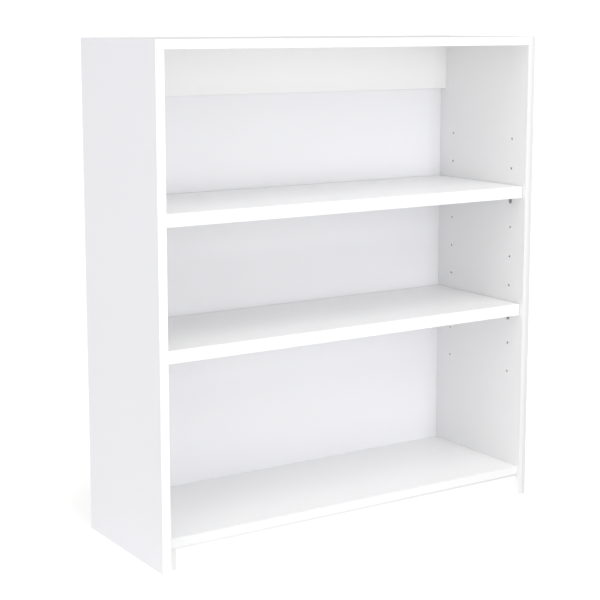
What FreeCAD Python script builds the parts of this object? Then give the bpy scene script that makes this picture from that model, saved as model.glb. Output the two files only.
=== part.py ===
import FreeCAD, Part
import os
import re
import Sketcher

# An open bookcase of laminated board. Two sides stand on the floor and hold a top and a fixed
# bottom shelf with cam locks. A rail under the top and a kick plate under the bottom shelf brace
# them, on wooden dowels. A thin back stands in grooves on all four sides. Two loose shelves rest
# on bracket supports that plug into columns of holes in the sides.
#
# Millimetres. The frame of the bookcase: x to the right, y to the rear, z up, origin at the middle
# of the footprint. Every piece also has a frame of its own, described where the piece is made.

SIZES = {
    # the whole bookcase
    "overall_width": 900,
    "overall_depth": 315,
    "overall_height": 1000,
    # boards and the bands glued on their edges
    "board_thickness": 18,
    "shelf_thickness": 25,
    "back_thickness": 3,
    "band_thickness": 1,
    "band_bevel": 0.6,
    # where the boards stand
    "kick_height": 45,
    "kick_setback": 12,
    "bottom_setback": 8,
    "shelf_setback": 10,
    "shelf_end_gap": 1,
    "shelf_back_gap": 2,
    "rail_height": 100,
    "back_inset": 18,
    # grooves for the back
    "groove_depth": 7,
    "groove_play": 0.2,
    "back_edge_play": 0.5,
    # what is left of a board behind a blind hole in its face
    "hole_skin": 6,
    # columns of shelf holes in the sides
    "pin_diameter": 5,
    "pin_pitch": 64,
    "pin_count": 9,
    "pin_lowest": 270,
    "column_front": 47,
    "column_spacing": 200,
    "lower_shelf_step": 2,
    "upper_shelf_step": 6,
    # bracket supports
    "stem_play": 0.05,
    "stem_end_gap": 3,
    "bracket_width": 10,
    "bracket_sheet": 1.5,
    "bracket_reach": 14,
    "bracket_rise": 3.5,
    "bracket_drop": 12,
    "bracket_corner": 2.5,
    # cam locks and the bores they turn in
    "lock_front": 60,
    "lock_rear_inset": 49,
    "lock_setback": 24,
    "lock_diameter": 15,
    "lock_play": 0.1,
    "lock_floor": 0.8,
    "lock_end_gap": 0.4,
    "head_play": 0.2,
    "slot_width": 1.4,
    "slot_length": 7,
    "slot_depth": 2,
    # cam bolts
    "head_diameter": 6.5,
    "head_length": 3,
    "neck_diameter": 4,
    "sleeve_diameter": 7.2,
    "sleeve_length": 13,
    "bolt_bore": 8,
    "thread_diameter": 5,
    "thread_play": 0.05,
    "thread_end_gap": 1,
    # dowels
    "dowel_diameter": 8,
    "dowel_depth": 19,
    "dowel_play": 0.1,
    "dowel_end_gap": 1,
}

# Lengths and places that follow from the sizes.
INNER_WIDTH = "(overall_width - 2 * board_thickness)"
INNER_HALF = "(overall_width / 2 - board_thickness)"
MID_BOARD = "(board_thickness / 2)"
BACK_FRONT = "(overall_depth - back_inset - back_thickness)"
TOP_UNDERSIDE = "(overall_height - board_thickness)"
BOTTOM_FACE = "(kick_height + board_thickness)"
RAIL_BOTTOM = f"({TOP_UNDERSIDE} - rail_height)"
RAIL_MIDDLE = f"({BACK_FRONT} - {MID_BOARD})"
KICK_MIDDLE = f"(kick_setback + {MID_BOARD})"
GROOVE_FRONT = f"({BACK_FRONT} - groove_play)"
GROOVE_REAR = f"({BACK_FRONT} + back_thickness + groove_play)"
BLIND_HOLE = "(board_thickness - hole_skin)"
PIN_REAR = "(column_front + column_spacing)"
LOCK_REAR = f"({BACK_FRONT} - lock_rear_inset)"
LOCK_HEIGHT = f"({MID_BOARD} + head_diameter / 2 + head_play + lock_floor)"
DOWEL_BORE = "(dowel_diameter + 2 * dowel_play)"

# Small round bars that repeat are prisms with this many sides.
LOCK_SIDE_COUNT = 16
BOLT_SIDE_COUNT = 8
DOWEL_SIDE_COUNT = 12
STEM_SIDE_COUNT = 12

QUARTER_TURN = 90
HALF_TURN = 180
SAME_PLACE = 0.001
SMALLEST_CUT = 0.001

doc = FreeCAD.newDocument("open_bookcase")
sheet = doc.addObject("Spreadsheet::Sheet", "sizes")
for row, (name, size) in enumerate(SIZES.items(), start=1):
    sheet.set(f"A{row}", name)
    sheet.set(f"B{row}", str(size))
    sheet.setAlias(f"B{row}", name)
doc.recompute()

parts = []


def formula(text):
    """Write each size named in the text as a cell of the sheet."""
    return re.sub(r"[a-z]+(_[a-z]+)+", r"sizes.\g<0>", text)


def value(text):
    """What a formula comes to with the sheet as it is."""
    return float(sheet.evalExpression(formula(text)))


def bind(thing, name, text):
    """Tie one property of an object to a formula."""
    thing.setExpression(name, formula(text))


def place(thing, x="0", y="0", z="0", axis=(0, 0, 1), angle=0):
    """Turn an object by a fixed angle and tie its position to three formulas."""
    thing.Placement = FreeCAD.Placement(FreeCAD.Vector(), FreeCAD.Rotation(FreeCAD.Vector(*axis), angle))
    bind(thing, "Placement.Base.x", x)
    bind(thing, "Placement.Base.y", y)
    bind(thing, "Placement.Base.z", z)


# ---------------------------------------------------------------- sketches and features


def new_body(label, is_part=True):
    body = doc.addObject("PartDesign::Body", label)
    if is_part:
        parts.append(body)
    return body


def plane_of(body, role):
    return next(feature for feature in body.Origin.OriginFeatures if feature.Role == role)


def attach(feature, body, role, offset="0"):
    """Set a sketch or a primitive on an origin plane of its body, moved along the plane's normal."""
    feature.AttachmentSupport = [(plane_of(body, role), "")]
    feature.MapMode = "FlatFace"
    if offset != "0":
        bind(feature, "AttachmentOffset.Base.z", offset)


def new_sketch(body, role, offset="0"):
    sketch = body.newObject("Sketcher::SketchObject", "sketch")
    attach(sketch, body, role, offset)
    return sketch


def pin_point(sketch, element, end, x, y):
    """Hold one point of a sketch at two formulas."""
    for axis, kind, text in ((-2, "DistanceX", x), (-1, "DistanceY", y)):
        if text == "0":
            sketch.addConstraint(Sketcher.Constraint("PointOnObject", element, end, axis))
        else:
            held = Sketcher.Constraint(kind, -1, 1, element, end, value(text))
            bind(sketch, f"Constraints[{sketch.addConstraint(held)}]", text)


def polygon(sketch, corners):
    """A closed outline of straight lines, with each corner held at its own two formulas."""
    points = [FreeCAD.Vector(value(x), value(y), 0) for x, y in corners]
    lines = [
        sketch.addGeometry(Part.LineSegment(start, end))
        for start, end in zip(points, points[1:] + points[:1])
    ]
    for line, following in zip(lines, lines[1:] + lines[:1]):
        sketch.addConstraint(Sketcher.Constraint("Coincident", line, 2, following, 1))
    for line, (x, y) in zip(lines, corners):
        pin_point(sketch, line, 1, x, y)


def rectangle(sketch, left, right, bottom, top):
    polygon(sketch, [(left, bottom), (right, bottom), (right, top), (left, top)])


def circle(sketch, x, y, diameter):
    centre = FreeCAD.Vector(value(x), value(y), 0)
    round_one = sketch.addGeometry(Part.Circle(centre, FreeCAD.Vector(0, 0, 1), value(diameter) / 2))
    pin_point(sketch, round_one, 3, x, y)
    held = Sketcher.Constraint("Diameter", round_one, value(diameter))
    bind(sketch, f"Constraints[{sketch.addConstraint(held)}]", diameter)


def extrude(body, kind, sketch, length, along_normal):
    """A Pad or a Pocket of a sketch, along its plane's normal or against it."""
    feature = body.newObject(f"PartDesign::{kind}", kind.lower())
    feature.Profile = sketch
    bind(feature, "Length", length)
    # A pad runs along the normal by itself, and a pocket against it.
    feature.Reversed = along_normal != (kind == "Pad")
    sketch.Visibility = False
    return feature


def pad(body, sketch, length, along_normal=True):
    return extrude(body, "Pad", sketch, length, along_normal)


def pocket(body, sketch, length, along_normal=True):
    return extrude(body, "Pocket", sketch, length, along_normal)


def bore(body, role, offset, centres, diameter, depth, along_normal=True):
    """Blind round holes, side by side, drilled from one plane."""
    sketch = new_sketch(body, role, offset)
    for x, y in centres:
        circle(sketch, x, y, diameter)
    return pocket(body, sketch, depth, along_normal)


def bar(body, start, end, diameter, sides, role="YZ_Plane"):
    """Add a stretch of a straight bar along the normal of an origin plane."""
    prism = body.newObject("PartDesign::AdditivePrism", "bar")
    attach(prism, body, role, start)
    prism.Polygon = sides
    bind(prism, "Circumradius", f"({diameter}) / 2")
    bind(prism, "Height", f"({end}) - ({start})")


def mirror_ends(body, features):
    """Repeat features at the other end of a board."""
    mirrored = body.newObject("PartDesign::Mirrored", "other_end")
    mirrored.Originals = features
    mirrored.MirrorPlane = (plane_of(body, "YZ_Plane"), [""])
    body.Tip = mirrored


def group(label, master, spots):
    """Equal fasteners as separate solids of one node. A spot is x, y, z, turning axis and angle."""
    links = []
    for number, (x, y, z, axis, angle) in enumerate(spots):
        link = doc.addObject("App::Link", f"{label}_{number}")
        link.LinkedObject = master
        link.LinkTransform = False
        place(link, x, y, z, axis, angle)
        links.append(link)
    compound = doc.addObject("Part::Compound", label)
    compound.Links = links
    parts.append(compound)
    return compound


# ---------------------------------------------------------------- sides

# Where the cam bolts and the dowels enter a side's inner face, as (y, z) from the side's front and
# from the floor.
BOLT_PLACES = [
    ("lock_front", f"{TOP_UNDERSIDE} + {MID_BOARD}"),
    (LOCK_REAR, f"{TOP_UNDERSIDE} + {MID_BOARD}"),
    ("lock_front", f"kick_height + {MID_BOARD}"),
    (LOCK_REAR, f"kick_height + {MID_BOARD}"),
]
DOWEL_PLACES = [
    (RAIL_MIDDLE, f"{RAIL_BOTTOM} + rail_height / 2"),
    (KICK_MIDDLE, "kick_height / 2"),
]


def side_board(label, hand):
    """A side: hand is -1 for the left one and 1 for the right one.

    Its own frame: x is 0 on the inner face, y on the finished front, z on the floor.
    """
    outward = hand > 0
    body = new_body(label)
    outline = new_sketch(body, "YZ_Plane")
    rectangle(outline, "band_thickness", "overall_depth", "0", "overall_height - band_thickness")
    pad(body, outline, "board_thickness", along_normal=outward)

    # The groove is open at the floor and stops inside the top's thickness.
    groove = new_sketch(body, "YZ_Plane")
    rectangle(groove, GROOVE_FRONT, GROOVE_REAR, "0", f"{TOP_UNDERSIDE} + groove_depth")
    pocket(body, groove, "groove_depth", along_normal=outward)

    bore(body, "YZ_Plane", "0", BOLT_PLACES, "thread_diameter", BLIND_HOLE, along_normal=outward)
    bore(body, "YZ_Plane", "0", DOWEL_PLACES, DOWEL_BORE, BLIND_HOLE, along_normal=outward)

    lowest_pins = [("column_front", "pin_lowest"), (PIN_REAR, "pin_lowest")]
    pins = bore(body, "YZ_Plane", "0", lowest_pins, "pin_diameter", BLIND_HOLE, along_normal=outward)
    doc.recompute()
    column = body.newObject("PartDesign::LinearPattern", "pin_columns")
    column.Originals = [pins]
    column.Direction = (pins.Profile[0], ["V_Axis"])
    bind(column, "Length", "pin_pitch * (pin_count - 1)")
    bind(column, "Occurrences", "pin_count")
    body.Tip = column

    place(body, f"{INNER_HALF} * {hand}", "-overall_depth / 2")


def side_bolts(side, hand):
    """The bolts screwed into one side, pointing into the bookcase."""
    upright = (0, 0, 1)
    turn = 0 if hand < 0 else HALF_TURN
    spots = [("0", f"-({y}) * {hand}", z, upright, 0) for y, z in BOLT_PLACES]
    bolts = group(f"{side}_cam_bolts", cam_bolt, spots)
    place(bolts, f"{INNER_HALF} * {hand}", "-overall_depth / 2", "0", upright, turn)


# ---------------------------------------------------------------- boards between the sides


def cross_board(label, front, rear, thickness="board_thickness", half=INNER_HALF):
    """A board between the sides.

    Its own frame: x along its length from the middle, y across it, z up from its lower face.
    """
    body = new_body(label)
    outline = new_sketch(body, "XY_Plane")
    rectangle(outline, f"-{half}", half, front, rear)
    pad(body, outline, thickness)
    return body


def locked_panel(label, front, brace, grooved_face, bottom):
    """The top or the bottom shelf, with the locks that pull it against the sides.

    Its y is 0 on the sides' finished front. brace is where the rail or the kick plate stands
    under it, and grooved_face the height of the face with the groove for the back.
    """
    body = cross_board(label, front, "overall_depth")
    rows = ("lock_front", LOCK_REAR)
    lock_bores = bore(
        body, "XY_Plane", "0", [(f"{INNER_HALF} - lock_setback", y) for y in rows],
        "lock_diameter + 2 * lock_play", f"{LOCK_HEIGHT} + lock_end_gap",
    )
    bolt_bores = bore(
        body, "YZ_Plane", INNER_HALF, [(y, MID_BOARD) for y in rows],
        "bolt_bore", "lock_setback", along_normal=False,
    )
    mirror_ends(body, [lock_bores, bolt_bores])
    bore(body, "XY_Plane", "0", [("0", brace)], DOWEL_BORE, BLIND_HOLE)
    groove = new_sketch(body, "XY_Plane", grooved_face)
    rectangle(groove, f"-{INNER_HALF}", INNER_HALF, GROOVE_FRONT, GROOVE_REAR)
    pocket(body, groove, "groove_depth", along_normal=grooved_face == "0")

    upright = (0, 0, 1)
    spots = []
    for y in rows:
        spots.append((f"{INNER_HALF} - lock_setback", y, "0", upright, 0))
        spots.append((f"lock_setback - {INNER_HALF}", y, "0", upright, HALF_TURN))
    locks = group(f"{label}_cam_locks", cam_lock, spots)
    for thing in (body, locks):
        place(thing, "0", "-overall_depth / 2", bottom)


def upright_brace(label, lower_edge, height, rear, bottom):
    """The rail or the kick plate: a board on edge with a dowel at each end and one in its top.

    Its own frame lies on the board's rear face: x along its length, y up, z to the front.
    """
    body = cross_board(label, lower_edge, height)
    end_bore = bore(
        body, "YZ_Plane", INNER_HALF, [(f"{height} / 2", MID_BOARD)],
        DOWEL_BORE, "dowel_depth + dowel_end_gap", along_normal=False,
    )
    mirror_ends(body, [end_bore])
    bore(
        body, "XZ_Plane", f"-{height}", [("0", MID_BOARD)],
        DOWEL_BORE, "dowel_depth + dowel_end_gap",
    )
    spots = [
        (INNER_HALF, f"{height} / 2", MID_BOARD, (0, 0, 1), 0),
        (f"-{INNER_HALF}", f"{height} / 2", MID_BOARD, (0, 0, 1), HALF_TURN),
        ("0", height, MID_BOARD, (0, 0, 1), QUARTER_TURN),
    ]
    dowels = group(f"{label}_dowels", dowel, spots)
    for thing in (body, dowels):
        place(thing, "0", f"{rear} - overall_depth / 2", bottom, (1, 0, 0), QUARTER_TURN)


def back_panel():
    """Its own frame: x from the middle, y on its front face, z on the floor."""
    body = new_body("back_panel")
    outline = new_sketch(body, "XZ_Plane")
    in_groove = "(groove_depth - back_edge_play)"
    edge = f"({INNER_HALF} + {in_groove})"
    rectangle(outline, f"-{edge}", edge, f"{BOTTOM_FACE} - {in_groove}", f"{TOP_UNDERSIDE} + {in_groove}")
    pad(body, outline, "back_thickness", along_normal=False)
    place(body, "0", f"{BACK_FRONT} - overall_depth / 2", "0")


# ---------------------------------------------------------------- loose shelves


def pin_height(step):
    """Height of the pins that carry a shelf, counted in steps up the columns of holes."""
    return f"(pin_lowest + pin_pitch * {step})"


def shelf_height(step):
    return f"({pin_height(step)} + bracket_rise)"


def loose_shelf(label, step):
    """A shelf that rests on four supports. Its y is 0 on the sides' finished front."""
    half = f"({INNER_HALF} - shelf_end_gap)"
    front = "shelf_setback + band_thickness"
    body = cross_board(label, front, f"{BACK_FRONT} - shelf_back_gap", "shelf_thickness", half)
    place(body, "0", "-overall_depth / 2", shelf_height(step))
    front_band(f"{label}_front_band", "shelf_setback", shelf_height(step), "shelf_thickness", half)


def shelf_support(label, hand, y, step):
    """A bracket of bent sheet with a stem that plugs into a shelf hole.

    Its own frame: x is 0 on the side's inner face and points into the bookcase, y and z are 0 on
    the stem's axis.
    """
    body = new_body(label)
    half = "(bracket_width / 2)"
    clipped = f"({half} - bracket_corner)"

    upright = new_sketch(body, "YZ_Plane")
    polygon(upright, [
        (half, "bracket_rise"),
        (f"-{half}", "bracket_rise"),
        (f"-{half}", "bracket_corner - bracket_drop"),
        (f"-{clipped}", "-bracket_drop"),
        (clipped, "-bracket_drop"),
        (half, "bracket_corner - bracket_drop"),
    ])
    pad(body, upright, "bracket_sheet")

    ledge = new_sketch(body, "XY_Plane", "bracket_rise")
    polygon(ledge, [
        ("0", f"-{half}"),
        ("bracket_reach - bracket_corner", f"-{half}"),
        ("bracket_reach", f"-{clipped}"),
        ("bracket_reach", clipped),
        ("bracket_reach - bracket_corner", half),
        ("0", half),
    ])
    pad(body, ledge, "bracket_sheet", along_normal=False)

    bar(body, f"stem_end_gap - {BLIND_HOLE}", "0", "pin_diameter - 2 * stem_play", STEM_SIDE_COUNT)

    turn = 0 if hand < 0 else HALF_TURN
    place(body, f"{INNER_HALF} * {hand}", f"{y} - overall_depth / 2", pin_height(step), angle=turn)


# ---------------------------------------------------------------- edge bands

ALONG_X = {"axis": (0, 1, 0), "angle": QUARTER_TURN}
ALONG_Y_FACING_UP = {"axis": (1, 0, 0), "angle": -QUARTER_TURN}
ALONG_X_FACING_DOWN = {"axis": (1, 1, 1), "angle": 120}


def edge_band(label, width, length, places):
    """A plastic strip with its outer arrises bevelled.

    Its own frame: x across the board's thickness from the middle, y inward from the outer face,
    z along the edge. places holds the arguments that set it on its board.
    """
    body = new_body(label)
    profile = new_sketch(body, "XY_Plane")
    rectangle(profile, f"-{width} / 2", f"{width} / 2", "0", "band_thickness")
    strip = pad(body, profile, length)
    doc.recompute()
    arrises = body.newObject("PartDesign::Chamfer", "arrises")
    arrises.Base = (strip, outer_arrises(strip.Shape))
    bind(arrises, "Size", "min(band_bevel; 0.9 * band_thickness)")
    place(body, **places)


def outer_arrises(shape):
    """Names of the long edges on the outer face of a strip that runs along z."""
    names = []
    for number, edge in enumerate(shape.Edges, start=1):
        start, end = (vertex.Point for vertex in edge.Vertexes)
        runs_along = abs(start.z - end.z) > abs(start.x - end.x)
        if runs_along and abs(start.y) < SAME_PLACE and abs(end.y) < SAME_PLACE:
            names.append(f"Edge{number}")
    return names


def side_bands(side, hand):
    middle = f"({INNER_HALF} + {MID_BOARD}) * {hand}"
    front = "-overall_depth / 2"
    edge_band(f"{side}_front_band", "board_thickness", "overall_height", {"x": middle, "y": front})
    edge_band(
        f"{side}_top_band", "board_thickness", "overall_depth - band_thickness",
        {"x": middle, "y": f"{front} + band_thickness", "z": "overall_height", **ALONG_Y_FACING_UP},
    )


def front_band(label, setback, bottom, thickness, half_length):
    """A band along the front edge of a board that lies between the sides."""
    edge_band(label, thickness, f"2 * {half_length}", {
        "x": f"-{half_length}",
        "y": f"{setback} - overall_depth / 2",
        "z": f"{bottom} + {thickness} / 2",
        **ALONG_X,
    })


def rail_band():
    edge_band("top_rail_lower_band", "board_thickness", INNER_WIDTH, {
        "x": f"-{INNER_HALF}",
        "y": f"{RAIL_MIDDLE} - overall_depth / 2",
        "z": RAIL_BOTTOM,
        **ALONG_X_FACING_DOWN,
    })


# ---------------------------------------------------------------- fasteners


def make_cam_lock():
    """The lock that pulls a board against a side.

    Its own frame: z is the axis of its bore, 0 on the board's face, and x points at the bolt. It is
    drawn turned home. A quarter turn back, its mouth, here towards -y, faces the bolt and lets the
    head in. The claw closes behind the head as the neck runs round in its slot.
    """
    body = new_body("cam_lock", is_part=False)
    bar(body, "0", LOCK_HEIGHT, "lock_diameter", LOCK_SIDE_COUNT, role="XY_Plane")

    for_head = "(head_diameter / 2 + head_play)"
    for_neck = "(neck_diameter / 2 + head_play)"
    for room, left, right in ((for_head, f"-{for_head}", for_head), (for_neck, "0", "lock_diameter")):
        hollow = new_sketch(body, "XY_Plane", f"{MID_BOARD} - {room}")
        rectangle(hollow, left, right, "-lock_diameter", room)
        pocket(body, hollow, f"2 * {room}")

    driver = new_sketch(body, "XY_Plane")
    rectangle(driver, "-slot_length / 2", "slot_length / 2", "-slot_width / 2", "slot_width / 2")
    pocket(body, driver, "slot_depth")
    return body


def make_cam_bolt():
    """Its own frame: x is its axis, 0 on the side's inner face and pointing at the cam lock."""
    body = new_body("cam_bolt", is_part=False)
    head_start = "(lock_setback - head_diameter / 2)"
    stretches = [
        (f"thread_end_gap - {BLIND_HOLE}", "0", "thread_diameter - 2 * thread_play"),
        ("0", "sleeve_length", "sleeve_diameter"),
        ("sleeve_length", head_start, "neck_diameter"),
        (head_start, f"{head_start} + head_length", "head_diameter"),
    ]
    for start, end, diameter in stretches:
        bar(body, start, end, diameter, BOLT_SIDE_COUNT)
    return body


def make_dowel():
    """Its own frame: x is its axis, 0 where the two boards meet, with the short end towards +x."""
    body = new_body("dowel", is_part=False)
    bar(body, "-dowel_depth", f"{BLIND_HOLE} - dowel_end_gap", "dowel_diameter", DOWEL_SIDE_COUNT)
    return body


# ---------------------------------------------------------------- the bookcase

cam_lock = make_cam_lock()
cam_bolt = make_cam_bolt()
dowel = make_dowel()

for side, hand in (("left_side", -1), ("right_side", 1)):
    side_board(side, hand)
    side_bands(side, hand)
    side_bolts(side, hand)

locked_panel("top_panel", "band_thickness", RAIL_MIDDLE, "0", TOP_UNDERSIDE)
front_band("top_panel_front_band", "0", TOP_UNDERSIDE, "board_thickness", INNER_HALF)
upright_brace("top_rail", "band_thickness", "rail_height", BACK_FRONT, RAIL_BOTTOM)
rail_band()

locked_panel("bottom_shelf", "bottom_setback + band_thickness", KICK_MIDDLE, "board_thickness", "kick_height")
front_band("bottom_shelf_front_band", "bottom_setback", "kick_height", "board_thickness", INNER_HALF)
upright_brace("kick_plate", "0", "kick_height", "kick_setback + board_thickness", "0")

back_panel()

for level in ("lower", "upper"):
    loose_shelf(f"{level}_shelf", f"{level}_shelf_step")
    for side, hand in (("left", -1), ("right", 1)):
        for end, column in (("front", "column_front"), ("rear", PIN_REAR)):
            shelf_support(f"{level}_shelf_support_{side}_{end}", hand, column, f"{level}_shelf_step")

doc.recompute()

# ---------------------------------------------------------------- checks and files

for thing in doc.Objects:
    if "Invalid" in thing.State or "Error" in thing.State:
        raise RuntimeError(f"{thing.Label} failed: {thing.State}")
    if thing.TypeId == "PartDesign::Pocket":
        if thing.Shape.Volume > thing.BaseFeature.Shape.Volume - SMALLEST_CUT:
            raise RuntimeError(f"{thing.Label} of {thing.getParent().Label} cuts nothing")

os.makedirs("parts", exist_ok=True)
for part in parts:
    if part.Shape.isNull() or not part.Shape.isValid():
        raise RuntimeError(f"{part.Label} has no valid shape")
    part.Shape.exportStep(f"parts/{part.Label}.step")
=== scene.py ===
import math

import bmesh
import bpy
from mathutils import Matrix, Vector


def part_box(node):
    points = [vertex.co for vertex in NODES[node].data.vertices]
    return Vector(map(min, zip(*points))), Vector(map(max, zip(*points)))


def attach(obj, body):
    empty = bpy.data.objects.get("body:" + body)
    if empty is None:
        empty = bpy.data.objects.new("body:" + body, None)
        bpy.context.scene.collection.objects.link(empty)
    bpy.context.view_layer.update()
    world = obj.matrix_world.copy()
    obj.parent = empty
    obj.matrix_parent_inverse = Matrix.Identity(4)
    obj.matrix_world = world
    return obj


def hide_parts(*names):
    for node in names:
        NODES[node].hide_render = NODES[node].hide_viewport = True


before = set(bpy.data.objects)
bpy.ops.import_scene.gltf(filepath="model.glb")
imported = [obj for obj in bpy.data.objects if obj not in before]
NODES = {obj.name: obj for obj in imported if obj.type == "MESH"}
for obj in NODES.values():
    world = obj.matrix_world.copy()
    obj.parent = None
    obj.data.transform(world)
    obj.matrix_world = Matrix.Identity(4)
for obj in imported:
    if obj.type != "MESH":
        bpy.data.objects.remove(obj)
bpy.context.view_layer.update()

# An open bookcase in white laminated board. Metres, in the frame of the CAD model: x to the right,
# y to the rear, z up. The boards and the back keep their CAD shapes and get their finishes here, and
# so do the edge bands, whose arrises are rounded as well. The shelf supports, the cam locks, the cam
# bolts and the dowels are small parts that are modelled again with finer shapes.

MM = 0.001

WHITE = (1.0, 1.0, 1.0, 1.0)
BLACK = (0.0, 0.0, 0.0, 1.0)


def link(thing):
    """Put an object into the scene."""
    bpy.context.scene.collection.objects.link(thing)
    return thing


# ---------------------------------------------------------------- node trees and materials


class NodeTree:
    """Short ways to add nodes to a tree and to join them."""

    def __init__(self, tree):
        self.tree = tree

    def add(self, kind, **settings):
        """A new node of the kind that Blender calls ShaderNode and the kind's name."""
        node = self.tree.nodes.new("ShaderNode" + kind)
        for name, setting in settings.items():
            setattr(node, name, setting)
        return node

    def feed(self, socket, source):
        """Join an output to a socket, or set the socket to a constant."""
        if isinstance(source, bpy.types.NodeSocket):
            self.tree.links.new(source, socket)
        else:
            socket.default_value = source

    def calculate(self, operation, first, second=0.0, third=None):
        """The result of one operation on numbers."""
        node = self.add("Math", operation=operation)
        self.feed(node.inputs[0], first)
        self.feed(node.inputs[1], second)
        if third is not None:
            self.feed(node.inputs[2], third)
        return node.outputs["Value"]

    def limit(self, number):
        """The number, kept between 0 and 1."""
        return self.calculate("MAXIMUM", self.calculate("MINIMUM", number, 1.0), 0.0)

    def remainder(self, share):
        """What a share leaves of 1."""
        return self.calculate("SUBTRACT", 1.0, share)

    def between(self, factor, low, high):
        """A number that runs from low to high as factor runs from 0 to 1."""
        return self.calculate("MULTIPLY_ADD", factor, high - low, low)


class Finish(NodeTree):
    """A new material with one Principled shader and patterns in the frame of the bookcase."""

    def __init__(self, name, **constants):
        self.material = bpy.data.materials.new(name)
        self.material.use_nodes = True
        super().__init__(self.material.node_tree)
        self.shader = self.tree.nodes["Principled BSDF"]
        for socket, amount in constants.items():
            self.shader.inputs[socket.replace("_", " ").title()].default_value = amount
        self.coordinates = self.add("TexCoord").outputs["Object"]

    def axis(self, number):
        """One coordinate in metres: 0 for x, 1 for y, 2 for z."""
        node = self.add("SeparateXYZ")
        self.feed(node.inputs["Vector"], self.coordinates)
        return node.outputs[number]

    def stretched(self, scale):
        """The coordinates times a scale for each axis, in cells per metre."""
        mapping = self.add("Mapping")
        self.feed(mapping.inputs["Vector"], self.coordinates)
        mapping.inputs["Scale"].default_value = scale
        return mapping.outputs["Vector"]

    def noise(self, scale, detail=2.0, roughness=0.5):
        """Smooth noise from 0 to 1. scale is one number or one for each axis, in cells per metre."""
        each_axis = scale if isinstance(scale, tuple) else (scale,) * 3
        texture = self.add("TexNoise")
        self.feed(texture.inputs["Vector"], self.stretched(each_axis))
        texture.inputs["Scale"].default_value = 1.0
        texture.inputs["Detail"].default_value = detail
        texture.inputs["Roughness"].default_value = roughness
        return texture.outputs["Fac"]

    def chips(self, scale):
        """Flat cells with a random grey each, as (grey, distance from the cell's middle)."""
        texture = self.add("TexVoronoi")
        self.feed(texture.inputs["Vector"], self.stretched(scale))
        texture.inputs["Scale"].default_value = 1.0
        grey = self.add("RGBToBW")
        self.feed(grey.inputs["Color"], texture.outputs["Color"])
        return grey.outputs["Val"], texture.outputs["Distance"]

    def ramp(self, factor, *stops):
        """A colour or a grey that follows factor through (position, colour) stops."""
        node = self.add("ValToRGB")
        self.feed(node.inputs["Fac"], factor)
        elements = node.color_ramp.elements
        while len(elements) < len(stops):
            elements.new(0.5)
        for element, (position, colour) in zip(elements, stops):
            element.position = position
            element.color = (*colour, 1) if isinstance(colour, tuple) else (*(colour,) * 3, 1)
        return node.outputs["Color"]

    def mix(self, factor, first, second, colour=True):
        """first where factor is 0, second where it is 1."""
        node = self.add("Mix", data_type="RGBA" if colour else "FLOAT")
        # The two inputs and the output, which have other places for colours than for numbers.
        a, b, out = (6, 7, 2) if colour else (2, 3, 0)
        self.feed(node.inputs[0], factor)
        self.feed(node.inputs[a], first)
        self.feed(node.inputs[b], second)
        return node.outputs[out]

    def relief(self, *layers):
        """Bump from (height, depth in metres, strength) layers, the coarsest first."""
        normal = None
        for height, depth, strength in layers:
            bump = self.add("Bump")
            bump.inputs["Strength"].default_value = strength
            bump.inputs["Distance"].default_value = depth
            self.feed(bump.inputs["Height"], height)
            if normal is not None:
                self.feed(bump.inputs["Normal"], normal)
            normal = bump.outputs["Normal"]
        self.feed(self.shader.inputs["Normal"], normal)

    def use(self, colour, roughness=None):
        """Give the shader its colour and roughness, and return the material."""
        self.feed(self.shader.inputs["Base Color"], colour)
        if roughness is not None:
            self.feed(self.shader.inputs["Roughness"], roughness)
        return self.material


def per_axis(axis, along, across):
    """A scale for each axis: along on the given axis, across on the other two."""
    scale = [across] * 3
    scale[axis] = along
    return tuple(scale)


# ---------------------------------------------------------------- camera

CAMERA_PLACE = (-1.6807, -2.5235, 1.0297)
CAMERA_TURN_RIGHT = math.radians(33.031)
CAMERA_TILT_DOWN = math.radians(8.825)
CAMERA_LENS_MM = 88.56
CAMERA_SHIFT_DOWN = 0.081


def make_camera():
    """A long lens from the front left, tilted a little down, with its frame shifted down."""
    data = bpy.data.cameras.new("camera")
    data.lens = CAMERA_LENS_MM
    data.shift_y = -CAMERA_SHIFT_DOWN
    camera = link(bpy.data.objects.new("camera", data))
    camera.location = CAMERA_PLACE
    camera.rotation_euler = (math.pi / 2 - CAMERA_TILT_DOWN, 0, -CAMERA_TURN_RIGHT)
    bpy.context.scene.camera = camera


# ---------------------------------------------------------------- light

# The sky's strength in a direction is the dot product of that direction and this gradient.
SKY_GRADIENT = (-0.30, 0.0, 1.16)
GROUND_STRENGTH = 1.0
BACKDROP_STRENGTH = 1.1

NEUTRAL = (1.0, 1.0, 1.0)
COOL = (0.35, 0.35, 1.0)

# Name, colour, place, aim, width, height and watts of each softbox.
SOFTBOXES = [
    ("front_softbox", NEUTRAL, (0.1, -3.6, 1.0), (0.0, 0.0, 0.5), 1.6, 1.6, 39),
    ("left_softbox", NEUTRAL, (-3.4, -2.2, 1.3), (0.0, -0.1, 0.5), 1.6, 2.0, 8),
    ("far_left_softbox", NEUTRAL, (-4.0, -0.9, 1.5), (0.4, -0.1, 0.6), 1.2, 1.8, 6.5),
    ("cool_side_softbox", COOL, (-4.0, 0.3, 1.4), (-0.45, 0.0, 0.6), 1.2, 1.8, 6),
    ("top_softbox", NEUTRAL, (0.0, -1.6, 3.4), (0.0, 0.0, 0.5), 2.4, 1.6, 25),
    ("far_top_softbox", NEUTRAL, (0.0, -6.0, 4.5), (0.0, 0.0, 0.5), 3.0, 2.0, 66),
]


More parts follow.
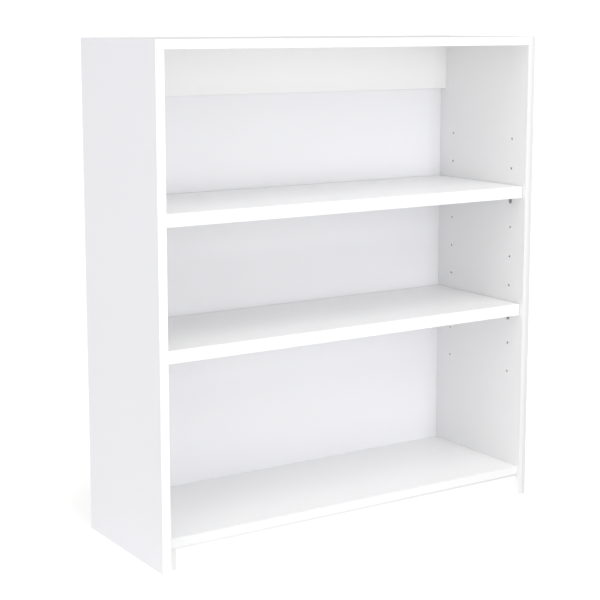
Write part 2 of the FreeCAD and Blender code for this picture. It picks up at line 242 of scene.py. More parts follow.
def make_surround():
    """A studio that is brightest overhead, with a white floor all round below the horizon.

    What the camera sees of it is a blank backdrop.
    """
    world = bpy.data.worlds.new("studio")
    world.use_nodes = True
    world.node_tree.nodes.clear()
    bpy.context.scene.world = world
    studio = NodeTree(world.node_tree)

    direction = studio.add("TexCoord").outputs["Generated"]
    gradient = studio.add("VectorMath", operation="DOT_PRODUCT")
    studio.feed(gradient.inputs[0], direction)
    studio.feed(gradient.inputs[1], SKY_GRADIENT)
    axes = studio.add("SeparateXYZ")
    studio.feed(axes.inputs["Vector"], direction)
    is_below = studio.calculate("LESS_THAN", axes.outputs["Z"], 0.0)
    ground = studio.calculate("MULTIPLY", is_below, GROUND_STRENGTH)
    strength = studio.calculate("MAXIMUM", gradient.outputs["Value"], ground)

    choice = studio.add("MixShader")
    studio.feed(choice.inputs["Fac"], studio.add("LightPath").outputs["Is Camera Ray"])
    for number, brightness in ((1, strength), (2, BACKDROP_STRENGTH)):
        light = studio.add("Background")
        studio.feed(light.inputs["Color"], WHITE)
        studio.feed(light.inputs["Strength"], brightness)
        studio.feed(choice.inputs[number], light.outputs["Background"])
    studio.feed(studio.add("OutputWorld").inputs["Surface"], choice.outputs["Shader"])


def make_softbox(name, colour, place, aim, width, height, watts):
    """A rectangular lamp that points at aim."""
    data = bpy.data.lights.new(name, "AREA")
    data.color = colour
    data.shape = "RECTANGLE"
    data.size = width
    data.size_y = height
    data.energy = watts
    lamp = link(bpy.data.objects.new(name, data))
    lamp.location = place
    lamp.rotation_euler = (Vector(aim) - Vector(place)).to_track_quat("-Z", "Y").to_euler()


# ---------------------------------------------------------------- floor

FLOOR_COLOUR = (0.93, 0.93, 0.93, 1.0)
FLOOR_ROUGHNESS = 0.9
FLOOR_GLOW = 0.2
FLOOR_RADIUS = 0.85
FLOOR_SIDES = 64
FLOOR_FADE_START = 0.2


def make_floor():
    """A white floor that glows a little, as a light table does, and fades into the backdrop."""
    disc = bmesh.new()
    bmesh.ops.create_circle(disc, cap_ends=True, segments=FLOOR_SIDES, radius=FLOOR_RADIUS)
    mesh = bpy.data.meshes.new("floor")
    disc.to_mesh(mesh)
    disc.free()
    white = Finish(
        "floor_white",
        base_color=FLOOR_COLOUR,
        roughness=FLOOR_ROUGHNESS,
        emission_color=WHITE,
        emission_strength=FLOOR_GLOW,
    )
    distance = white.add("VectorMath", operation="LENGTH")
    white.feed(distance.inputs[0], white.coordinates)
    fade = white.add("MapRange", interpolation_type="SMOOTHSTEP")
    white.feed(fade.inputs["Value"], distance.outputs["Value"])
    white.feed(fade.inputs["From Min"], FLOOR_FADE_START)
    white.feed(fade.inputs["From Max"], FLOOR_RADIUS)
    white.feed(fade.inputs["To Min"], 1.0)
    white.feed(fade.inputs["To Max"], 0.0)
    white.feed(white.shader.inputs["Alpha"], fade.outputs["Result"])
    mesh.materials.append(white.material)
    link(bpy.data.objects.new("floor", mesh))


# ---------------------------------------------------------------- laminated boards

# In all finishes a scale is in cells per metre, a relief is (depth, strength of the bump) and a
# pair of roughnesses is the range that a pattern runs through.

LAMINATE_SKIN = 0.35 * MM
LAMINATE_LIGHT = (0.875, 0.875, 0.877, 1.0)
LAMINATE_SHADE = (0.860, 0.860, 0.863, 1.0)
LAMINATE_CLOUD_SCALE = 5.0
LAMINATE_SATIN_SCALE = 160.0
LAMINATE_ROUGHNESS = (0.38, 0.50)
PEARL_SCALE = 620.0
PEARL_RELIEF = (0.05 * MM, 0.35)

# Particleboard: flakes lie flat in the board, coarse in the middle and fine near the faces. The
# share of fine flakes is the offset plus the slope times the way from the middle, 0, to a face, 1.
COARSE_FLAKES = (
    (0.10, (0.40, 0.29, 0.185)),
    (0.38, (0.56, 0.44, 0.305)),
    (0.62, (0.68, 0.565, 0.42)),
    (0.90, (0.80, 0.70, 0.56)),
)
COARSE_SCALE = {"along": 900.0, "across": 170.0}
FINE_LIGHT = (0.84, 0.80, 0.73, 1.0)
FINE_DARK = (0.72, 0.665, 0.59, 1.0)
FINE_SCALE = {"along": 1500.0, "across": 520.0}
FINE_SLOPE = 1.6
FINE_OFFSET = -0.55
FLAKE_RELIEF = (0.35 * MM, 0.8)
FLAKE_ROUGHNESS = 0.85

# Painted shadows on the kick plate: a grey line under the bottom shelf's overhang and a grey strip
# beside the left side. How far they reach from the shelf above and from the left side, how dark they
# are (the line under the shelf at its two ends), and the length of their fade.
SHADOW_LINE = 5.0 * MM
SHADOW_LINE_LEFT = 0.12
SHADOW_LINE_RIGHT = 0.27
SHADOW_STRIP = 17.0 * MM
SHADOW_STRIP_GREY = 0.18
SHADOW_FADE = 1.5 * MM

# The axis of each board's thickness.
BOARDS = {
    "left_side": 0,
    "right_side": 0,
    "kick_plate": 1,
    "top_rail": 1,
    "top_panel": 2,
    "bottom_shelf": 2,
    "lower_shelf": 2,
    "upper_shelf": 2,
}


def laminate_skin(finish):
    """Melamine paper with the fine pearl texture of shelving board: colour, roughness, pearl."""
    cloud = finish.noise(LAMINATE_CLOUD_SCALE, detail=3.0)
    satin = finish.noise(LAMINATE_SATIN_SCALE, detail=3.0)
    pearl = finish.noise(PEARL_SCALE, detail=3.0, roughness=0.6)
    colour = finish.mix(cloud, LAMINATE_LIGHT, LAMINATE_SHADE)
    return colour, finish.between(satin, *LAMINATE_ROUGHNESS), pearl


def painted_corner_shadows(finish, colour):
    """The kick plate's colour with painted shadows under the bottom shelf and beside the left side.
    """
    low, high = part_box("kick_plate")

    def near(distance, reach):
        """1 up to reach and 0 beyond it, with a short fade between."""
        share = finish.calculate("MULTIPLY_ADD", distance, -1 / SHADOW_FADE, reach / SHADOW_FADE + 0.5)
        return finish.limit(share)

    from_left = finish.calculate("SUBTRACT", finish.axis(0), low.x)
    across = finish.calculate("DIVIDE", from_left, high.x - low.x)
    in_shelf_shadow = near(finish.calculate("SUBTRACT", high.z, finish.axis(2)), SHADOW_LINE)
    line_grey = finish.between(across, SHADOW_LINE_LEFT, SHADOW_LINE_RIGHT)
    line = finish.calculate("MULTIPLY", in_shelf_shadow, line_grey)
    strip = finish.calculate("MULTIPLY", near(from_left, SHADOW_STRIP), SHADOW_STRIP_GREY)
    return finish.mix(finish.calculate("MAXIMUM", line, strip), colour, BLACK)


def bare_core(finish, axis, from_middle, half):
    """Particleboard in a board's cuts, as (colour, height of the flakes)."""
    coarse, coarse_height = finish.chips(per_axis(axis, **COARSE_SCALE))
    fine, fine_height = finish.chips(per_axis(axis, **FINE_SCALE))
    is_fine = finish.calculate("MULTIPLY_ADD", from_middle, FINE_SLOPE / half, FINE_OFFSET)
    coarse_colour = finish.ramp(coarse, *COARSE_FLAKES)
    fine_colour = finish.mix(fine, FINE_DARK, FINE_LIGHT)
    colour = finish.mix(is_fine, coarse_colour, fine_colour)
    return colour, finish.mix(is_fine, coarse_height, fine_height, colour=False)


def laminated_board(node, axis):
    """White laminate on the two big faces, and bare particleboard in the cuts between them."""
    low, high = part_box(node)
    middle = (low[axis] + high[axis]) / 2
    half = (high[axis] - low[axis]) / 2
    finish = Finish("laminated_" + node)
    skin_colour, skin_roughness, pearl = laminate_skin(finish)
    # The kick plate gets painted shadows: a grey line under the bottom shelf and a grey strip by the
    # left side.
    if node == "kick_plate":
        skin_colour = painted_corner_shadows(finish, skin_colour)

    off_middle = finish.calculate("SUBTRACT", finish.axis(axis), middle)
    from_middle = finish.calculate("ABSOLUTE", off_middle)
    is_skin = finish.calculate("GREATER_THAN", from_middle, half - LAMINATE_SKIN)
    core_colour, flakes = bare_core(finish, axis, from_middle, half)
    finish.relief(
        (finish.calculate("MULTIPLY", flakes, finish.remainder(is_skin)), *FLAKE_RELIEF),
        (finish.calculate("MULTIPLY", pearl, is_skin), *PEARL_RELIEF),
    )
    return finish.use(
        finish.mix(is_skin, core_colour, skin_colour),
        finish.mix(is_skin, FLAKE_ROUGHNESS, skin_roughness, colour=False),
    )


# ---------------------------------------------------------------- back panel

LACQUER = 0.2 * MM
LACQUER_SHADE = (0.853, 0.854, 0.876, 1.0)
LACQUER_LIGHT = (0.870, 0.871, 0.892, 1.0)
LACQUER_CLOUD_SCALE = 7.0
LACQUER_ROUGHNESS = (0.36, 0.46)
ORANGE_PEEL_SCALE = 260.0
ORANGE_PEEL_RELIEF = (0.06 * MM, 0.3)

HARDBOARD_BROWNS = (
    (0.30, (0.165, 0.098, 0.052)),
    (0.50, (0.255, 0.160, 0.088)),
    (0.72, (0.365, 0.245, 0.145)),
)
FIBRE_SCALE = (90.0, 90.0, 900.0)
FELT_SCALE = 700.0
FELT_RELIEF = (0.12 * MM, 0.6)
HARDBOARD_ROUGHNESS = 0.8


def thin_back():
    """Hardboard: lacquered white on the face that shows in the bays, brown and bare behind."""
    finish = Finish("white_fibreboard")
    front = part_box("back_panel")[0].y
    is_bare = finish.calculate("GREATER_THAN", finish.axis(1), front + LACQUER)
    cloud = finish.noise(LACQUER_CLOUD_SCALE, detail=4.0)
    fibre = finish.noise(FIBRE_SCALE, detail=6.0, roughness=0.7)
    felt = finish.noise(FELT_SCALE, detail=4.0, roughness=0.7)
    orange_peel = finish.noise(ORANGE_PEEL_SCALE)
    white = finish.mix(cloud, LACQUER_SHADE, LACQUER_LIGHT)
    brown = finish.ramp(finish.mix(0.5, fibre, felt, colour=False), *HARDBOARD_BROWNS)
    finish.relief(
        (finish.calculate("MULTIPLY", felt, is_bare), *FELT_RELIEF),
        (finish.calculate("MULTIPLY", orange_peel, finish.remainder(is_bare)), *ORANGE_PEEL_RELIEF),
    )
    lacquer_roughness = finish.between(cloud, *LACQUER_ROUGHNESS)
    return finish.use(
        finish.mix(is_bare, white, brown),
        finish.mix(is_bare, lacquer_roughness, HARDBOARD_ROUGHNESS, colour=False),
    )


# ---------------------------------------------------------------- edge bands

BAND_WHITE = 0.90
# Darker copies of the band white, painted shade: the right side's and the bottom shelf's front
# bands.
SHADED_BANDS = {"right_side_front_band": 0.755, "bottom_shelf_front_band": 0.785}
BAND_MOTTLE = 0.985
BAND_MOTTLE_SCALE = 9.0
BAND_ROUGHNESS = (0.30, 0.42)
STREAK_SCALE = {"along": 12.0, "across": 1400.0}
STREAK_RELIEF = (0.03 * MM, 0.3)
CHATTER_SCALE = {"along": 260.0, "across": 1.0}
CHATTER_RELIEF = (0.04 * MM, 0.25)

# Strips with a painted shade in a margin along their outer or upper arris: the axis across the
# strip, the widths of the margin and of its fade, and the share of the white that is left.
SHADED_MARGIN_BANDS = {
    "right_side_front_band": (0, 9.0 * MM, 5.0 * MM, 0.89),
    "top_panel_front_band": (2, 2.6 * MM, 1.0 * MM, 0.88),
}

BAND_ARRIS = 0.15 * MM
BAND_ARRIS_SEGMENTS = 2
BAND_ARRIS_ANGLE = math.radians(30)
JOIN_DISTANCE = 0.01 * MM


def painted_shade_margin(finish, node, tone):
    """A band's tone with a painted shade in a margin along one arris."""
    across, width, fade, white_left = SHADED_MARGIN_BANDS[node]
    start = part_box(node)[1][across] - width - fade / 2
    into_margin = finish.calculate("SUBTRACT", finish.axis(across), start)
    into_shade = finish.limit(finish.calculate("DIVIDE", into_margin, fade))
    return finish.calculate("MULTIPLY", tone, finish.between(into_shade, 1.0, white_left))


def edge_band(node):
    """Satin plastic strip with the faint chatter that a scraper leaves along it."""
    low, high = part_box(node)
    size = high - low
    axis = max(range(3), key=lambda number: size[number])
    finish = Finish("plastic_" + node)
    streaks = finish.noise(per_axis(axis, **STREAK_SCALE))
    chatter = finish.noise(per_axis(axis, **CHATTER_SCALE), detail=1.0)
    tone = finish.between(finish.noise(BAND_MOTTLE_SCALE), 1.0, BAND_MOTTLE)
    # Painted shade along the right side band's outer arris and along the top band's upper arris.
    if node in SHADED_MARGIN_BANDS:
        tone = painted_shade_margin(finish, node, tone)
    # The right side's and the bottom shelf's front bands get a darker white, painted shade.
    white = SHADED_BANDS.get(node, BAND_WHITE)
    finish.relief((chatter, *CHATTER_RELIEF), (streaks, *STREAK_RELIEF))
    return finish.use(
        finish.mix(tone, BLACK, (white, white, white, 1.0)),
        finish.between(streaks, *BAND_ROUGHNESS),
    )


def soften(thing):
    """Round the arrises of a band by a hair, with shading that stays flat on its flats.

    The faces of a CAD mesh come apart from each other, so they are joined first.
    """
    weld = thing.modifiers.new("joined_faces", "WELD")
    weld.merge_threshold = JOIN_DISTANCE
    bevel = thing.modifiers.new("soft_arrises", "BEVEL")
    bevel.width = BAND_ARRIS
    bevel.segments = BAND_ARRIS_SEGMENTS
    bevel.limit_method = "ANGLE"
    bevel.angle_limit = BAND_ARRIS_ANGLE
    bevel.harden_normals = True
    for face in thing.data.polygons:
        face.use_smooth = True


# ---------------------------------------------------------------- metals and wood

# Name, colour, roughness, scale of the grain and its depth.
# The shelf supports' nickel is darkened to stand in for the shade under the shelves: painted shade.
SHADED_NICKEL = ("shaded_nickel", (0.33, 0.325, 0.315), 0.30, 700.0, 0.02 * MM)
CAST_ZINC = ("cast_zinc", (0.58, 0.58, 0.59), 0.42, 900.0, 0.06 * MM)
ZINC_PLATE = ("zinc_plate", (0.66, 0.66, 0.64), 0.28, 600.0, 0.02 * MM)

STAIN_SCALE = 220.0
STAIN_SHADE = 0.8
GRAIN_STRENGTH = 0.5
SMOOTHER = 0.07
ROUGHER = 0.09

BEECH_DARK = (0.60, 0.40, 0.24)
BEECH_LIGHT = (0.76, 0.57, 0.38)
BEECH_FLECK = (0.42, 0.25, 0.14, 1.0)
BEECH_ROUGHNESS = 0.65
BEECH_LINES_SCALE = (60.0, 1500.0, 1500.0)
BEECH_LINES_RELIEF = (0.05 * MM, 0.5)
BEECH_FLECKS_SCALE = (350.0, 2600.0, 2600.0)


def brushed_metal(name, colour, rough, grain_scale, grain_depth):
    """Plated or cast metal with a fine grain and faint stains."""
    finish = Finish(name, metallic=1.0)
    stain = finish.noise(STAIN_SCALE, detail=3.0)
    grain = finish.noise(grain_scale, detail=4.0, roughness=0.6)
    darker = tuple(STAIN_SHADE * share for share in colour)
    finish.relief((grain, grain_depth, GRAIN_STRENGTH))
    return finish.use(
        finish.mix(stain, (*colour, 1.0), (*darker, 1.0)),
        finish.between(grain, rough - SMOOTHER, rough + ROUGHER),
    )


def bare_beech():
    """Beech with fine lines and short dark flecks, both long in x."""
    finish = Finish("bare_beech", roughness=BEECH_ROUGHNESS)
    lines = finish.noise(BEECH_LINES_SCALE, detail=4.0)
    flecks = finish.noise(BEECH_FLECKS_SCALE, detail=1.0)
    wood = finish.ramp(lines, (0.3, BEECH_DARK), (0.7, BEECH_LIGHT))
    is_fleck = finish.ramp(flecks, (0.62, 0.0), (0.70, 1.0))
    finish.relief((lines, *BEECH_LINES_RELIEF))
    return finish.use(finish.mix(is_fleck, wood, BEECH_FLECK))


# ---------------------------------------------------------------- finishes on the CAD shapes


def paint(node, material):
    """Give a CAD node one finish all over."""
    slots = NODES[node].data.materials
    slots.clear()
    slots.append(material)


def finish_boards():
    """Laminate on every board, and hardboard for the back."""
    for node, axis in BOARDS.items():
        paint(node, laminated_board(node, axis))
    paint("back_panel", thin_back())


def finish_bands():
    """Plastic on every edge band, with rounded arrises."""
    for node in NODES:
        if node.endswith("_band"):
            paint(node, edge_band(node))
            soften(NODES[node])


# ---------------------------------------------------------------- meshes

SHARP_ANGLE = math.radians(38)
QUARTER_TURN = math.pi / 2


def to_piece(shape, node, material):
    """Turn a bmesh in the frame of the bookcase into a carcass piece that stands for a CAD node."""
    name = "formed_" + node
    mesh = bpy.data.meshes.new(name)
    bmesh.ops.recalc_face_normals(shape, faces=shape.faces)
    shape.to_mesh(mesh)
    shape.free()
    mesh.shade_smooth()
    mesh.set_sharp_from_angle(angle=SHARP_ANGLE)
    mesh.materials.append(material)
    piece = link(bpy.data.objects.new(name, mesh))
    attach(piece, "carcass")
    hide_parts(node)


def add_shape(target, shape, matrix):
    """Copy a bmesh into another one, moved by a matrix."""
    mesh = bpy.data.meshes.new("part")
    shape.to_mesh(mesh)
    mesh.transform(matrix)
    target.from_mesh(mesh)
    bpy.data.meshes.remove(mesh)


def moved(x, y, z, turn=0.0, axis="Z"):
    """A matrix that turns about an axis through the origin and then moves to a place."""
    return Matrix.Translation((x, y, z)) @ Matrix.Rotation(turn, 4, axis)


def skin(shape, loops):
    """Close a bar whose cross-sections are loops of the same number of points."""
    for near, far in zip(loops, loops[1:]):
        for number in range(len(near)):
            before = number - 1
            shape.faces.new((near[before], near[number], far[number], far[before]))
    shape.faces.new(reversed(loops[0]))
    shape.faces.new(loops[-1])


def turned(rings, sides, flute=lambda angle, along: 0.0):
    """A closed round bar along x through (place, radius) rings. flute changes the radius locally."""
    shape = bmesh.new()
    loops = []
    for along, radius in rings:
        loop = []
        for number in range(sides):
            angle = 2 * math.pi * number / sides
            here = radius + flute(angle, along)
            loop.append(shape.verts.new((along, here * math.cos(angle), here * math.sin(angle))))
        loops.append(loop)
    skin(shape, loops)
    return shape


def box_shape(low, high):
    """A block between two opposite corners."""
    shape = bmesh.new()
    bmesh.ops.create_cube(shape, size=1.0)
    size = Vector(high) - Vector(low)
    middle = (Vector(high) + Vector(low)) / 2
    shape.transform(Matrix.Translation(middle) @ Matrix.Diagonal((*size, 1)))
    return shape


def carve(shape, cutters):
    """Cut closed shapes out of a closed shape."""

    def as_object(part):
        mesh = bpy.data.meshes.new("carving")
        part.to_mesh(mesh)
        part.free()
        return link(bpy.data.objects.new("carving", mesh))

    stock = as_object(shape)
    tools = [as_object(cutter) for cutter in cutters]
    for tool in tools:
        cut = stock.modifiers.new("cut", "BOOLEAN")
        cut.operation = "DIFFERENCE"
        cut.solver = "EXACT"
        cut.object = tool
    bpy.context.view_layer.update()
    result = bmesh.new()
    result.from_object(stock, bpy.context.evaluated_depsgraph_get())
    for thing in (stock, *tools):
        mesh = thing.data
        bpy.data.objects.remove(thing)
        bpy.data.meshes.remove(mesh)
    return result


# ---------------------------------------------------------------- shelf supports

INNER_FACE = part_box("right_side")[0].x

SHEET = 1.5 * MM
SHEET_ARRIS = 0.25 * MM
BEND_RADIUS = 1.6 * MM
CORNER_ROUNDING = 4.4 * MM
FOOT_TAPER = 0.28
STEM_RISE = 3.5 * MM
STEM_RADIUS = 2.45 * MM
STEM_TAPER = 0.7 * MM
STEM_SIDES = 24
RIVET_RADIUS = 1.9 * MM
RIVET_RISE = 0.6 * MM
ROUND_STEPS = 6


def sheet_stations(straight, bend, length):
    """Where the cross-sections of a bent sheet stand, closer together round its corners and bend."""
    corner = [
        CORNER_ROUNDING * (1 - math.cos(QUARTER_TURN * step / ROUND_STEPS))
        for step in range(ROUND_STEPS + 1)
    ]
    turning = [straight + bend * step / ROUND_STEPS for step in range(ROUND_STEPS + 1)]
    return corner + turning + [length - place for place in reversed(corner)]


def sheet_section(wide):
    """The cross-section of the sheet as (across, through) points, with its arrises broken."""
    thick = SHEET / 2
    half = [
        (wide - SHEET_ARRIS, -thick), (wide, SHEET_ARRIS - thick),
        (wide, thick - SHEET_ARRIS), (wide - SHEET_ARRIS, thick),
    ]
    return half + [(-across, through) for across, through in reversed(half)]


def bent_sheet(width, drop, reach):
    """An angle of sheet metal with rounded corners: an upright plate and a ledge.

    x is 0 on the side board and points away from it, z is 0 on the axis of the stem.
    """
    bend_foot = STEM_RISE - SHEET / 2 - BEND_RADIUS
    bend_centre = Vector((SHEET / 2 + BEND_RADIUS, 0, bend_foot))
    straight = bend_foot + drop
    bend = BEND_RADIUS * QUARTER_TURN
    length = straight + bend + reach - bend_centre.x

    def middle_line(along):
        """A point halfway through the sheet, and the direction to its hollow side."""
        if along < straight:
            return Vector((SHEET / 2, 0, along - drop)), Vector((1, 0, 0))
        if along < straight + bend:
            turn = (along - straight) / BEND_RADIUS
            hollow = Vector((math.cos(turn), 0, -math.sin(turn)))
            return bend_centre - BEND_RADIUS * hollow, hollow
        past = along - straight - bend
        return bend_centre + Vector((past, 0, BEND_RADIUS)), Vector((0, 0, -1))

    def half_width(along):
        """Half the sheet's width, which rounds off at both ends and tapers to the foot."""
        left = CORNER_ROUNDING - min(along, length - along, CORNER_ROUNDING)
        taper = 1 - FOOT_TAPER * max(0, 1 - along / straight)
        return taper * (width / 2 - CORNER_ROUNDING + math.sqrt(CORNER_ROUNDING**2 - left**2))

    shape = bmesh.new()
    rings = []
    for along in sheet_stations(straight, bend, length):
        point, hollow = middle_line(along)
        rings.append([
            shape.verts.new(point + through * hollow + Vector((0, across, 0)))
            for across, through in sheet_section(half_width(along))
        ])
    skin(shape, rings)
    return shape


def bracket_shape(node):
    """A bent sheet with a stem riveted through its plate, in the frame of bent_sheet."""
    low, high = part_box(node)
    stem_end = high.x - low.x
    reach = INNER_FACE + high.x if low.x < 0 else INNER_FACE - low.x
    shape = bent_sheet(high.y - low.y, high.z - low.z - STEM_RISE, reach)
    stem = turned([
        (reach - stem_end, STEM_RADIUS - STEM_TAPER),
        (reach - stem_end + STEM_TAPER, STEM_RADIUS),
        (SHEET / 2, STEM_RADIUS),
    ], sides=STEM_SIDES)
    dome = [
        (SHEET + RIVET_RISE * math.sin(lift), RIVET_RADIUS * math.cos(lift))
        for lift in (QUARTER_TURN * step / ROUND_STEPS for step in range(ROUND_STEPS))
    ]
    rivet = turned([(SHEET / 2, RIVET_RADIUS), *dome], sides=STEM_SIDES)
    for part in (stem, rivet):
        add_shape(shape, part, Matrix.Identity(4))
        part.free()
    return shape


def make_shelf_supports(metal):
    """The eight brackets, plugged into the sides."""
    for node in sorted(NODES):
        if "_shelf_support_" not in node:
            continue
        low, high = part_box(node)
        hand, turn = (-1, 0.0) if low.x < 0 else (1, math.pi)
        shape = bracket_shape(node)
        shape.transform(moved(hand * INNER_FACE, (low.y + high.y) / 2, high.z - STEM_RISE, turn))
        to_piece(shape, node, metal)


# ---------------------------------------------------------------- cam locks

# The radius of the locks in the CAD model, and that of the finer ones, which stay inside it.
LOCK_BOX_RADIUS = 7.5 * MM
LOCK_RADIUS = 7.4 * MM
LOCK_SIDES = 48
LOCK_ARRIS = 0.35 * MM
LOCK_RIM = 1.0 * MM
LOCK_RECESS = 0.5 * MM
LOCK_CREST = 0.25 * MM
HEAD_ROOM = 3.45 * MM
WELL_SIDES = 32
NECK_ROOM = 2.2 * MM
CROSS_SIZE = 6.4 * MM
CROSS_WIDTH = 1.3 * MM
CROSS_DEPTH = 2.6 * MM
ARROW_PLACE = 4.1 * MM
ARROW_SIZE = 1.5 * MM
ARROW_DEPTH = 0.25 * MM

# How far a cutter reaches past what it cuts.
CUTTER_MARGIN = 1.0 * MM


def lock_spots(group):
    """The x distance of four cam locks from the middle and the y of their two rows."""
    low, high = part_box(group)
    return high.x - LOCK_BOX_RADIUS, (low.y + LOCK_BOX_RADIUS, high.y - LOCK_BOX_RADIUS)


def lock_body(height, bolt_height):
    """The uncut cam: a disc with a recessed face and a shallow step below the bolt."""
    inner = LOCK_RADIUS - LOCK_ARRIS - LOCK_RIM
    crest = LOCK_RADIUS - LOCK_CREST
    step = bolt_height - HEAD_ROOM
    return turned([
        (LOCK_RECESS, inner - LOCK_ARRIS),
        (0, inner),
        (0, LOCK_RADIUS - LOCK_ARRIS),
        (LOCK_ARRIS, LOCK_RADIUS),
        (step - 3 * LOCK_CREST, LOCK_RADIUS),
        (step - 2 * LOCK_CREST, crest),
        (height - LOCK_ARRIS, crest),
        (height, crest - LOCK_ARRIS),
    ], sides=LOCK_SIDES)


def cam_lock_shape(height, bolt_height):
    """A die-cast cam. z is its axis, 0 on the visible face, and x points at the bolt."""
    upright = Matrix.Rotation(-QUARTER_TURN, 4, "Y")
    low, high = bolt_height - HEAD_ROOM, bolt_height + HEAD_ROOM
    reach = LOCK_RADIUS + CUTTER_MARGIN
    body = lock_body(height, bolt_height)
    body.transform(upright)
    well = turned([(low, HEAD_ROOM), (high, HEAD_ROOM)], sides=WELL_SIDES)
    well.transform(upright)
    mouth = box_shape((-HEAD_ROOM, -reach, low), (HEAD_ROOM, 0, high))
    slot = box_shape(
        (0, -reach, bolt_height - NECK_ROOM), (reach, NECK_ROOM, bolt_height + NECK_ROOM)
    )
    cuts = [well, mouth, slot]
    for length, width in ((CROSS_SIZE, CROSS_WIDTH), (CROSS_WIDTH, CROSS_SIZE)):
        cuts.append(box_shape(
            (-length / 2, -width / 2, -CUTTER_MARGIN),
            (length / 2, width / 2, LOCK_RECESS + CROSS_DEPTH),
        ))
    arrow = turned([
        (-CUTTER_MARGIN, ARROW_SIZE / 2), (LOCK_RECESS + ARROW_DEPTH, ARROW_SIZE / 2),
    ], sides=3)
    arrow.transform(moved(ARROW_PLACE, 0, 0, -QUARTER_TURN, "Y"))
    cuts.append(arrow)
    return carve(body, cuts)


def make_cam_locks(zinc):
    """Four locks in the underside of the top panel and four in that of the bottom shelf."""
    for panel in ("top_panel", "bottom_shelf"):
        group = panel + "_cam_locks"
        low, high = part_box(group)
        board_low, board_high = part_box(panel)
        lock = cam_lock_shape(high.z - low.z, (board_high.z - board_low.z) / 2)
        out, rows = lock_spots(group)
        whole = bmesh.new()
        for y in rows:
            for hand, turn in ((1, 0), (-1, math.pi)):
                add_shape(whole, lock, moved(hand * out, y, low.z, turn))
        lock.free()
        to_piece(whole, group, zinc)


# ---------------------------------------------------------------- cam bolts

BOLT_START = -11.0 * MM
BOLT_SIDES = 24
BOLT_ARRIS = 0.3 * MM
SLEEVE_LENGTH = 13.0 * MM
SLEEVE_RADIUS = 3.55 * MM
NECK_RADIUS = 2.0 * MM
HEAD_START = 20.75 * MM
HEAD_LENGTH = 3.0 * MM
HEAD_RADIUS = 3.2 * MM
THREAD_RADIUS = 2.4 * MM
THREAD_DEPTH = 0.45 * MM
THREAD_PITCH = 1.6 * MM
THREAD_RINGS_PER_TURN = 8

# The share of its height that the thread still has at the sleeve.
THREAD_AT_SLEEVE = 0.2


def thread_crest(angle, along):
    """How far the screw thread stands out of its core, which runs out at both ends."""
    if along >= 0:
        return 0.0
    phase = (along / THREAD_PITCH - angle / (2 * math.pi)) % 1.0
    run_in = (along - BOLT_START) / THREAD_PITCH
    run_out = THREAD_AT_SLEEVE - along / THREAD_PITCH
    return THREAD_DEPTH * min(1.0, run_in, run_out) * (1 - abs(2 * phase - 1))


def cam_bolt_shape():
    """A cam bolt. x is its axis, 0 on the side's inner face and pointing at the cam lock."""
    head_end = HEAD_START + HEAD_LENGTH
    steps = int(-BOLT_START / THREAD_PITCH * THREAD_RINGS_PER_TURN)
    thread = [
        (BOLT_START * (1 - step / steps), THREAD_RADIUS - THREAD_DEPTH)
        for step in range(steps)
    ]
    plain = [
        (0, SLEEVE_RADIUS - BOLT_ARRIS),
        (BOLT_ARRIS, SLEEVE_RADIUS),
        (SLEEVE_LENGTH - BOLT_ARRIS, SLEEVE_RADIUS),
        (SLEEVE_LENGTH, SLEEVE_RADIUS - BOLT_ARRIS),
        (SLEEVE_LENGTH, NECK_RADIUS),
        (HEAD_START, NECK_RADIUS),
        (HEAD_START + BOLT_ARRIS, HEAD_RADIUS - BOLT_ARRIS),
        (HEAD_START + 2 * BOLT_ARRIS, HEAD_RADIUS),
        (head_end - 2 * BOLT_ARRIS, HEAD_RADIUS),
        (head_end, HEAD_RADIUS - 2 * BOLT_ARRIS),
    ]
    return turned(thread + plain, sides=BOLT_SIDES, flute=thread_crest)


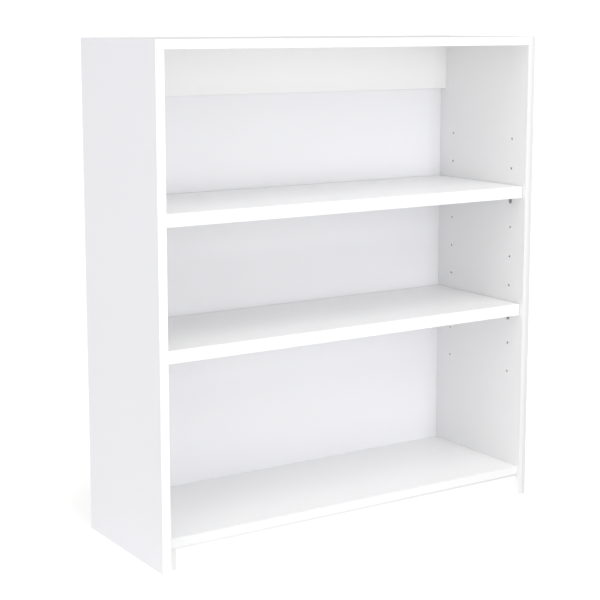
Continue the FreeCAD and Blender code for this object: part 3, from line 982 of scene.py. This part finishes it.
def make_cam_bolts(zinc):
    """Four bolts screwed into each side, one for each lock."""
    levels = []
    for panel in ("bottom_shelf", "top_panel"):
        low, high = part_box(panel)
        levels.append((low.z + high.z) / 2)
    rows = lock_spots("top_panel_cam_locks")[1]
    bolt = cam_bolt_shape()
    for side, hand, turn in (("left_side", -1, 0), ("right_side", 1, math.pi)):
        whole = bmesh.new()
        for y in rows:
            for z in levels:
                add_shape(whole, bolt, moved(hand * INNER_FACE, y, z, turn))
        to_piece(whole, side + "_cam_bolts", zinc)
    bolt.free()


# ---------------------------------------------------------------- dowels

DOWEL_RADIUS = 4.0 * MM
DOWEL_LONG_END = 19.0 * MM
DOWEL_SHORT_END = 11.0 * MM
DOWEL_TAPER = 1.0 * MM
DOWEL_FLUTES = 16
FLUTE_SIDES = 6
FLUTE_DEPTH = 0.25 * MM


def dowel_flute(angle, along):
    """Round grooves between flat lands, all along the dowel."""
    return -FLUTE_DEPTH * (0.5 - 0.5 * math.cos(DOWEL_FLUTES * angle)) ** 2


def make_dowels(beech):
    """Three fluted dowels under the top and three under the bottom shelf."""
    dowel = turned([
        (-DOWEL_LONG_END, DOWEL_RADIUS - DOWEL_TAPER),
        (DOWEL_TAPER - DOWEL_LONG_END, DOWEL_RADIUS),
        (DOWEL_SHORT_END - DOWEL_TAPER, DOWEL_RADIUS),
        (DOWEL_SHORT_END, DOWEL_RADIUS - DOWEL_TAPER),
    ], sides=FLUTE_SIDES * DOWEL_FLUTES, flute=dowel_flute)
    for board in ("top_rail", "kick_plate"):
        group = board + "_dowels"
        low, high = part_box(group)
        end, top = high.x - DOWEL_SHORT_END, high.z - DOWEL_SHORT_END
        middle, y = low.z + DOWEL_RADIUS, (low.y + high.y) / 2
        whole = bmesh.new()
        add_shape(whole, dowel, moved(end, y, middle))
        add_shape(whole, dowel, moved(-end, y, middle, math.pi))
        add_shape(whole, dowel, moved(0, y, top, -QUARTER_TURN, "Y"))
        to_piece(whole, group, beech)
    dowel.free()


# ---------------------------------------------------------------- the scene

make_camera()
make_surround()
for softbox in SOFTBOXES:
    make_softbox(*softbox)
make_floor()

finish_boards()
finish_bands()
# The shelf supports get nickel darkened as painted shade.
make_shelf_supports(brushed_metal(*SHADED_NICKEL))
make_cam_locks(brushed_metal(*CAST_ZINC))
make_cam_bolts(brushed_metal(*ZINC_PLATE))
make_dowels(bare_beech())

scene = bpy.context.scene
scene.view_settings.view_transform = "Standard"
scene.cycles.use_denoising = True
